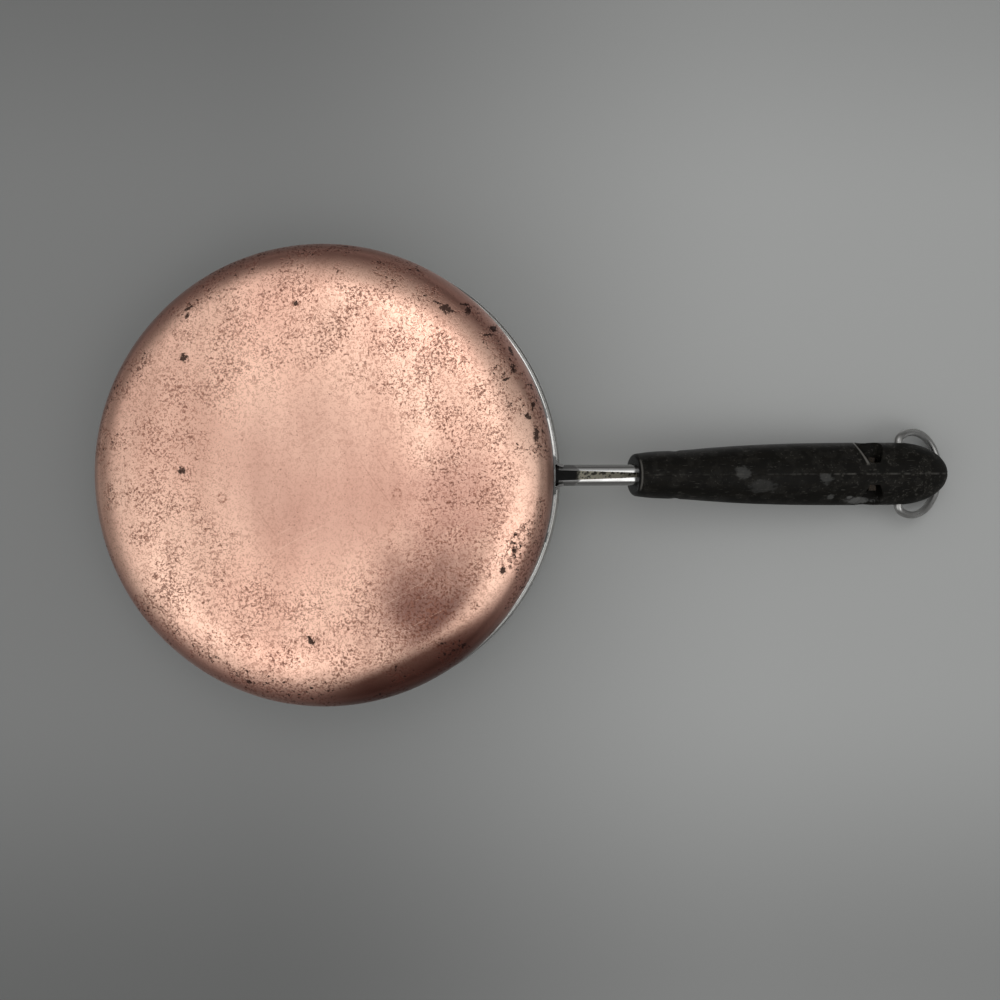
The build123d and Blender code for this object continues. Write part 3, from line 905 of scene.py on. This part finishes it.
def make_phenolic():
    material, recipe, shader, where = new_finish("worn_phenolic", 0.0)
    shader.inputs["Specular IOR Level"].default_value = gloss
    local = along_handle(recipe, where, grip_front)
    split = recipe.split(local)
    distance, side = split["X"], split["Y"]
    below = recipe.ramp(split["Z"], *underside)
    broad = recipe.pattern(clouds, local, 20 * mm)
    smudges = recipe.pattern(clouds, local, 6 * mm)
    # brown flow lines, small flecks that crowd towards the end, and short lengthwise marks
    flow = recipe.noise(recipe.scaled(local, (0.25, 1, 1)), 2.2 * mm, detail=5.0, roughness=0.7)
    tone = recipe.paint(phenolic_dark, phenolic_brown, recipe.ramp(flow, 0.40, 0.64))
    crowd = recipe.ramp(distance, *flecked_end, 0.48, 0.72)
    crowd = recipe.add(crowd, recipe.product(broad, 0.1))
    flecks = recipe.pattern(specks, local, 1.3 * mm, crowd)
    flecks = recipe.product(flecks, recipe.ramp(smudges, 0.3, 0.7))
    marks = recipe.pattern(scratches, recipe.scaled(local, (9, 1, 1)), 0.7 * mm, 0.5)
    tone = recipe.paint(tone, fleck_tone, recipe.ramp(smudges, 0.45, 0.85, 0.0, 0.08))
    tone = recipe.paint(tone, fleck_tone, flecks, 0.45)
    tone = recipe.paint(tone, fleck_tone, marks, 0.4)
    # the joint shows as a broken pale line, most of all towards the end
    broken = recipe.noise(recipe.scaled(local, (1, 0, 0)), 6 * mm, detail=4.0)
    seam = recipe.product(
        recipe.ramp(recipe.unsigned(side), 0.7 * mm, 0.2 * mm),
        recipe.ramp(broken, 0.42, 0.58),
        recipe.ramp(distance, *pale_joint, 0.10, 0.32),
    )
    tone = recipe.paint(tone, lip_highlight_and_seam_tone, seam)
    # pale scuffs underneath, with a painted lit patch and a painted highlight by the recess, and painted
    # highlights on the lips
    ragged = recipe.noise(recipe.scaled(local, (0.5, 1, 1)), 2.2 * mm, detail=4.0, roughness=0.7)
    ragged = recipe.product(recipe.minus(ragged, 0.5), 2.4)
    scuffs_and_highlights = ragged_ovals(recipe, local, scuffs_and_highlights_at, ragged, 1.2, 0.6)
    tone = recipe.paint(tone, scuff_and_highlight_tone, recipe.product(scuffs_and_highlights, below), 0.6)
    tone = recipe.paint(tone, lip_highlight_and_seam_tone, painted_lip_highlights(recipe, local, distance, side, below), 0.8)
    clean_front = recipe.ramp(distance, 1.0 * mm, 0.2 * mm)
    tone = recipe.paint(tone, phenolic_clean, clean_front)
    roughness = recipe.ramp(broad, 0.0, 1.0, 0.48, 0.62)
    roughness = recipe.ramp(clean_front, 0.0, 1.0, roughness, 0.22)
    relief = recipe.minus(flow, recipe.product(flecks, 0.6))
    relief = recipe.minus(relief, recipe.product(marks, 0.4))
    normal = recipe.bump(relief, 0.06 * mm)
    feed(recipe, shader, Base_Color=tone, Roughness=roughness, Normal=normal)
    return material


worn_phenolic = make_phenolic()
dress(left_grip, "pan", worn_phenolic, "left_grip_half")
dress(right_grip, "pan", worn_phenolic, "right_grip_half")
print("grip finish", len(worn_phenolic.node_tree.nodes), "nodes")

# %% [markdown]
# ## Bracket and fasteners
#
# These already have their true shape, but sheet metal and turned metal have no knife edges. Each
# gets a merged copy of its packed mesh, whose sharp edges a narrow Bevel rounds, so that they catch
# the light.


# %% Softened copies of the packed steel pieces
def softened(name, node, width):
    """A copy of a packed node with its loose triangles merged and its edges rounded."""
    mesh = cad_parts[node].data.copy()
    mesh.name = name
    piece = bpy.data.objects.new(name, mesh)
    bpy.context.scene.collection.objects.link(piece)
    merged = bmesh.new()
    merged.from_mesh(mesh)
    bmesh.ops.remove_doubles(merged, verts=merged.verts, dist=0.001 * mm)
    merged.to_mesh(mesh)
    merged.free()
    if "custom_normal" in mesh.attributes:
        mesh.attributes.remove(mesh.attributes["custom_normal"])
    shade(mesh, 30.0)
    bevel = piece.modifiers.new("rounded_edges", "BEVEL")
    bevel.width = width
    bevel.segments = 2
    bevel.limit_method = "ANGLE"
    bevel.angle_limit = radians(40.0)
    bevel.harden_normals = False
    return piece


# %% [markdown]
# Dirt never comes out of the open channel: its far wall is crusted pale and spotted dark, and near
# the pan it is black. The flat sides and the wing tips are darkened with painted shade. The rest of
# the bracket is bright from handling.

# %% Bracket finish and the four pieces
channel_half_gap = 4.1 * mm
channel_floor = -5.6 * mm
black_until = 14.0 * mm
wing_shade_from = 27.5 * mm
flare_line = (15.0 * mm, 13.5 * mm)
flare_width = (10.5 * mm, 9.0 * mm)
side_shade_edge = (2.4 * mm, 3.6 * mm)
crust_tone = (0.80, 0.76, 0.62, 1)
side_shade_tone = (0.17, 0.165, 0.155, 1)
spot_tone = (0.022, 0.015, 0.009, 1)
black_tone = (0.004, 0.0035, 0.003, 1)


def make_bracket_steel():
    material, recipe, shader, where = new_finish("bracket_steel", 1.0)
    local = along_handle(recipe, where, 0.0)
    split = recipe.split(local)
    distance, height = split["X"], split["Z"]
    off_middle = recipe.unsigned(split["Y"])
    broad = recipe.pattern(clouds, local, 10 * mm)
    marks = recipe.pattern(scratches, local, 0.5 * mm, 0.55)
    specked = recipe.pattern(specks, local, 1.2 * mm, 0.4)
    spots = recipe.pattern(specks, local, 2 * mm, 0.86)
    tone = recipe.paint(steel_tone, steel_dull, broad, 0.5)
    tone = recipe.paint(tone, steel_dull, marks, 0.35)
    tone = recipe.paint(tone, grime_tone, specked, 0.5)
    # the channel's inside: a pale crust with dark spots, black near the pan
    crust = recipe.paint(crust_tone, spot_tone, spots, 0.9)
    ragged = recipe.product(recipe.noise(local, 2 * mm), 6 * mm)
    black = recipe.ramp(recipe.add(distance, ragged), black_until + 4 * mm, black_until + 2 * mm)
    inner = recipe.product(
        recipe.ramp(off_middle, channel_half_gap, channel_half_gap - 0.1 * mm),
        recipe.ramp(height, channel_floor, channel_floor + 0.4 * mm),
    )
    tone = recipe.mix(inner, tone, recipe.paint(crust, black_tone, black))
    # a dark line where the wings meet the wall, wing tips darkened with painted shade, and black round the
    # flares
    radius = recipe.vector("LENGTH", recipe.scaled(where, (1, 1, 0)))
    dark_joint_and_tip_shade = recipe.ramp(radius, wall_at_bracket + 0.8 * mm, wall_at_bracket + 0.4 * mm)
    wing_tip_shade = recipe.ramp(off_middle, wing_shade_from, wing_shade_from + 1 * mm)
    slant = recipe.add(distance, off_middle)
    flares = recipe.product(recipe.ramp(slant, *flare_line), recipe.ramp(off_middle, *flare_width))
    dark_joint_and_tip_shade = recipe.most(dark_joint_and_tip_shade, recipe.product(recipe.most(wing_tip_shade, flares), 0.75))
    # painted shade: the flat sides away from the channel are darker
    tone = recipe.paint(tone, side_shade_tone, recipe.ramp(off_middle, *side_shade_edge), 0.65)
    tone = recipe.paint(tone, black_tone, dark_joint_and_tip_shade)
    metal = recipe.minus(1.0, recipe.most(inner, dark_joint_and_tip_shade))
    roughness = recipe.ramp(broad, 0.0, 1.0, 0.14, 0.26)
    roughness = recipe.add(roughness, recipe.product(inner, 0.5))
    relief = recipe.minus(recipe.product(spots, inner), recipe.product(marks, 0.2))
    normal = recipe.bump(relief, 0.02 * mm)
    feed(recipe, shader, Base_Color=tone, Roughness=roughness, Metallic=metal, Normal=normal)
    return material


bracket_steel = make_bracket_steel()
steel_pieces = (
    # name, packed node, rounding of its edges, finish, slot
    ("bracket", "handle_bracket", 0.22 * mm, bracket_steel, "bracket_steel"),
    ("rivet", "front_rivet", 0.08 * mm, fastener_steel, "fastener_steel"),
    ("screw", "rear_screw", 0.12 * mm, fastener_steel, "fastener_steel"),
    ("nut", "rear_nut", 0.12 * mm, fastener_steel, "fastener_steel"),
)
for name, node, rounding, steel, slot in steel_pieces:
    dress(softened(name, node, rounding), "pan", steel, node)
print("softened", [name for name, *_ in steel_pieces])

# %% [markdown]
# ## The hanging ring
#
# One wire: a straight side through the grip, a small bend, a round bow past the grip's end, and a
# small bend back. A tube follows that line, and each of its circles lies square to the line.

# %% Ring wire
wire_radius = 2.0 * mm
ring_elevation = radians(35.0)
half_span = 16.6 * mm
bend_radius = 3.6 * mm
bow_reach = 33.3 * mm
bend_to_bend = bow_reach - 2 * bend_radius
bow_shift = (bend_to_bend**2 - half_span**2) / (2 * bend_to_bend)
bow_centre = bend_radius + bow_shift
bow_radius = bow_reach - bow_centre
bend_turn = atan2(half_span, -bow_shift)
side_steps, bend_steps, bow_steps, wire_sides = 20, 14, 80, 28


def arc_points(centre, radius, start, turn, count):
    """Points on a circle in the ring's plane: its centre plus radius times (cos, sin)."""
    angle = start + np.linspace(0, turn, count)
    return np.column_stack([centre[0] + radius * np.cos(angle), centre[1] + radius * np.sin(angle)])


ring_line = np.vstack(
    [
        np.column_stack([np.zeros(side_steps), np.linspace(-half_span, half_span, side_steps)]),
        arc_points((bend_radius, half_span), bend_radius, np.pi, bend_turn - np.pi, bend_steps)[1:],
        arc_points((bow_centre, 0), bow_radius, bend_turn, -2 * bend_turn, bow_steps)[1:],
        arc_points((bend_radius, -half_span), bend_radius, -bend_turn, bend_turn - np.pi, bend_steps)[1:-1],
    ]
)
ring_out = np.array([cos(ring_elevation), 0.0, sin(ring_elevation)])
ring_up = np.array([-sin(ring_elevation), 0.0, cos(ring_elevation)])
ring_middle = on_handle(ring_at, 0.0, 0.0)
line = ring_middle + ring_line[:, :1] * ring_out + ring_line[:, 1:] * sideways
tangent = np.roll(line, -1, axis=0) - np.roll(line, 1, axis=0)
tangent /= np.linalg.norm(tangent, axis=1, keepdims=True)
outward = np.cross(tangent, ring_up)
around = np.linspace(0, 2 * np.pi, wire_sides, endpoint=False)[None, :, None]
ring_grid = line[:, None] + wire_radius * (np.cos(around) * outward[:, None] + np.sin(around) * ring_up)
ring_wire = new_piece("ring_wire", ring_grid, grid_faces(*ring_grid.shape[:2], close_rows=True), sharp=60.0)
dress(ring_wire, "ring", ring_steel, "hanging_ring")
print("ring wire", len(line), "circles, bow radius", round(bow_radius / mm, 2), "mm")

# %% [markdown]
# ## Floor, table and light
#
# The pan stands on a pale floor. The portrait camera is below that floor, so the floor shows only
# its upper side, and lets the camera through from underneath. Behind the pan, as that camera sees
# it, is the table that the rim and the ring would lie on. It shows only its lower side. Neither
# blocks a lamp, so that the pan is lit alike from both sides.


# %% One-sided sheets
def one_sided(name, tone, fades, steep_only):
    """A matte material that is clear from behind, and to a low view too where it is steep_only."""
    material = bpy.data.materials.new(name)
    material.use_nodes = True
    tree = material.node_tree
    tree.nodes.clear()
    recipe = Recipe(tree)
    split = recipe.split(recipe.node("ShaderNodeTexCoord", {}).outputs["Object"])
    kept = 1.0
    for axis, start, end, left in fades:
        kept = recipe.product(kept, recipe.ramp(split[axis], start, end, 1.0, left))
    colour = recipe.mix(kept, (0, 0, 0, 1), tone)
    matte = recipe.node("ShaderNodeBsdfDiffuse", {"Color": colour}).outputs["BSDF"]
    clear = recipe.node("ShaderNodeBsdfTransparent", {}).outputs["BSDF"]
    unseen = recipe.node("ShaderNodeNewGeometry", {}).outputs["Backfacing"]
    if steep_only:
        facing = recipe.node("ShaderNodeLayerWeight", {"Blend": 0.5}).outputs["Facing"]
        camera_ray = recipe.node("ShaderNodeLightPath", {}).outputs["Is Camera Ray"]
        unseen = recipe.most(unseen, recipe.product(recipe.ramp(facing, 0.45, 0.65), camera_ray))
    mixed = recipe.node("ShaderNodeMixShader", {0: unseen, 1: matte, 2: clear})
    recipe.node("ShaderNodeOutputMaterial", {"Surface": mixed.outputs[0]})
    return material


def stage_sheet(name, points, faces, tone, fades=(), steep_only=False):
    """A sheet that shows its front to the camera and stops no light.

    Each fade is an axis, where it starts and ends along it, and the share of the tone left there.
    """
    sheet = new_object(name, points, faces)
    sheet.data.materials.append(one_sided(name, tone, fades, steep_only))
    for way in ("visible_diffuse", "visible_glossy", "visible_transmission", "visible_shadow"):
        setattr(sheet, way, False)
    return sheet


floor_half = 30.0
floor_height = -0.3 * mm
floor_tone = (0.62, 0.62, 0.61, 1)
corner_signs = ((-1, -1), (1, -1), (1, 1), (-1, 1))
floor_corners = [(x * floor_half, y * floor_half, floor_height) for x, y in corner_signs]
stage_sheet("floor", floor_corners, [(0, 1, 2, 3)], floor_tone)
print("floor", 2 * floor_half, "m wide")

# %% [markdown]
# The table leans with the handle, so that it clears both the rim and the ring. It has a round
# opening over the bowl, hidden behind the pan. Through it the inside of the bowl mirrors the
# studio, while the outside of the wall mirrors the table, as it does in the photograph. The table
# is darker towards the bowl's end and along two edges, as under a window. A low view looks through it.

# %% Table with a round opening
ring_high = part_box("hanging_ring")[1]
rim_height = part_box("pan_body")[1].z
table_gap = 0.4 * mm
table_slope = (ring_high.z - rim_height) / (ring_high.x + rim_radius)
table_tone = (0.34, 0.345, 0.34, 1)
table_reach = np.array([[-0.24, 0.41], [-0.36, 0.36]])
# painted shade: the table grows darker towards the bowl's end and along two edges
table_shade_fades = (
    ("X", 0.24, -0.06, 0.55),
    ("Y", 0.11, 0.28, 0.68),
    ("Y", -0.14, -0.28, 0.80),
)
opening_radius = rim_radius - 4 * mm
table_sides = 360


def table_points():
    """A circle and the rectangle's edge in the same directions: direction times edge over cosine."""
    angle = np.linspace(0, 2 * np.pi, table_sides, endpoint=False)
    ways = np.stack([np.cos(angle), np.sin(angle)], axis=-1)
    limits = np.where(ways > 0, table_reach[:, 1], table_reach[:, 0])
    steps = np.min(np.abs(limits / np.where(np.abs(ways) < 1e-9, 1e-9, ways)), axis=-1, keepdims=True)
    rings = np.stack([ways * opening_radius, ways * steps])
    height = rim_height + table_gap + (rings[..., :1] + rim_radius) * table_slope
    return np.concatenate([rings, height], axis=-1)


table = stage_sheet("table", table_points(), grid_faces(2, table_sides), table_tone, table_shade_fades, True)
table.visible_glossy = True
print("table slope", round(table_slope, 3))

# %% [markdown]
# Four soft lamps light the pan, two from below for the portrait and two from above.

# %% Lamps
lamps = (
    # name, place and target in metres, side in metres, watts
    ("below_near", (-0.50, 0.48, -0.62), (0.05, 0.0, 0.02), 0.80, 1.5),
    ("below_far", (0.10, -0.28, -0.85), (0.05, 0.0, 0.02), 0.60, 1.6),
    ("above_near", (0.45, -0.55, 0.85), (0.05, 0.0, 0.03), 0.60, 3.0),
    ("above_far", (-0.55, 0.45, 0.70), (0.05, 0.0, 0.03), 0.60, 1.2),
)
for name, place, target, side, watts in lamps:
    lamp_data = bpy.data.lights.new(name, "AREA")
    lamp_data.size = side
    lamp_data.energy = watts
    lamp = bpy.data.objects.new(name, lamp_data)
    lamp.location = place
    lamp.rotation_mode = "QUATERNION"
    lamp.rotation_quaternion = (Vector(target) - Vector(place)).to_track_quat("-Z", "Y")
    bpy.context.scene.collection.objects.link(lamp)
print("lamps", [name for name, *_ in lamps])

# %% [markdown]
# The world is a soft studio: bright straight above and straight below, and dimmer at the horizon.
# Metal only looks like metal when it has something uneven to mirror, so soft panels and two dark
# screens hang below. A place there is given by how far it leans from straight down along X and
# along Y, per unit of depth. The camera itself sees a plain backdrop, as bright as the far floor.

# %% World
low_levels = (0.13, 0.46)
high_levels = (0.42, 0.85)
backdrop_level = 0.77
core_share = 0.3
panels = (
    # lean along X, lean along Y, reach, added light
    (-0.30, 0.36, 0.50, 0.75),
    (-0.31, 0.17, 0.21, 0.80),
    (-0.50, -0.24, 0.45, 0.24),
    (-0.12, -0.34, 0.34, 0.72),
    (0.25, -0.45, 0.34, 0.60),
    (0.80, 0.38, 0.80, 1.60),
    (2.20, 0.30, 1.50, 0.60),
    (-2.00, -0.20, 1.60, 0.55),
    (-0.50, 0.95, 0.70, 0.25),
    (-0.75, -0.90, 0.75, 0.80),
)
screens = (
    # lean along X, lean along Y, reach, share of the light taken
    (-0.29, 0.00, 0.28, 0.42),
    (-0.06, 0.02, 0.16, 0.22),
)


def make_world():
    world = bpy.data.worlds.new("studio")
    world.use_nodes = True
    bpy.context.scene.world = world
    world.node_tree.nodes.clear()
    studio = Recipe(world.node_tree)
    way = studio.node("ShaderNodeTexCoord", {}).outputs["Generated"]
    height = studio.split(way)["Z"]
    sunk = studio.product(height, -1.0)
    low_level = studio.ramp(sunk, 0.15, 0.8, *low_levels)
    raised = studio.minus(studio.ramp(height, 0.0, 0.8, *high_levels), low_level)
    level = studio.add(low_level, studio.product(raised, studio.ramp(height, -0.1, 0.05)))
    per_depth = studio.math("DIVIDE", 1.0, studio.most(sunk, 0.02))
    lean = studio.node("ShaderNodeVectorMath", {0: way, "Scale": per_depth}, operation="SCALE")
    flat_lean = studio.scaled(lean.outputs["Vector"], (1, 1, 0))
    for x, y, reach, added in panels:
        away = studio.vector("DISTANCE", flat_lean, (x, y, 0))
        level = studio.add(level, studio.ramp(away, reach, core_share * reach, 0.0, added))
    for x, y, reach, taken in screens:
        away = studio.vector("DISTANCE", flat_lean, (x, y, 0))
        level = studio.product(level, studio.ramp(away, reach, core_share * reach, 1.0, 1 - taken))
    fill = studio.node("ShaderNodeBackground", {"Color": (1, 1, 1, 1), "Strength": level})
    backdrop = studio.node("ShaderNodeBackground", {"Color": floor_tone, "Strength": backdrop_level})
    camera_ray = studio.node("ShaderNodeLightPath", {}).outputs["Is Camera Ray"]
    inputs = {0: camera_ray, 1: fill.outputs[0], 2: backdrop.outputs[0]}
    seen = studio.node("ShaderNodeMixShader", inputs)
    studio.node("ShaderNodeOutputWorld", {"Surface": seen.outputs[0]})


make_world()
print("world with", len(panels), "panels and", len(screens), "screens")

# %% [markdown]
# ## Finish
#
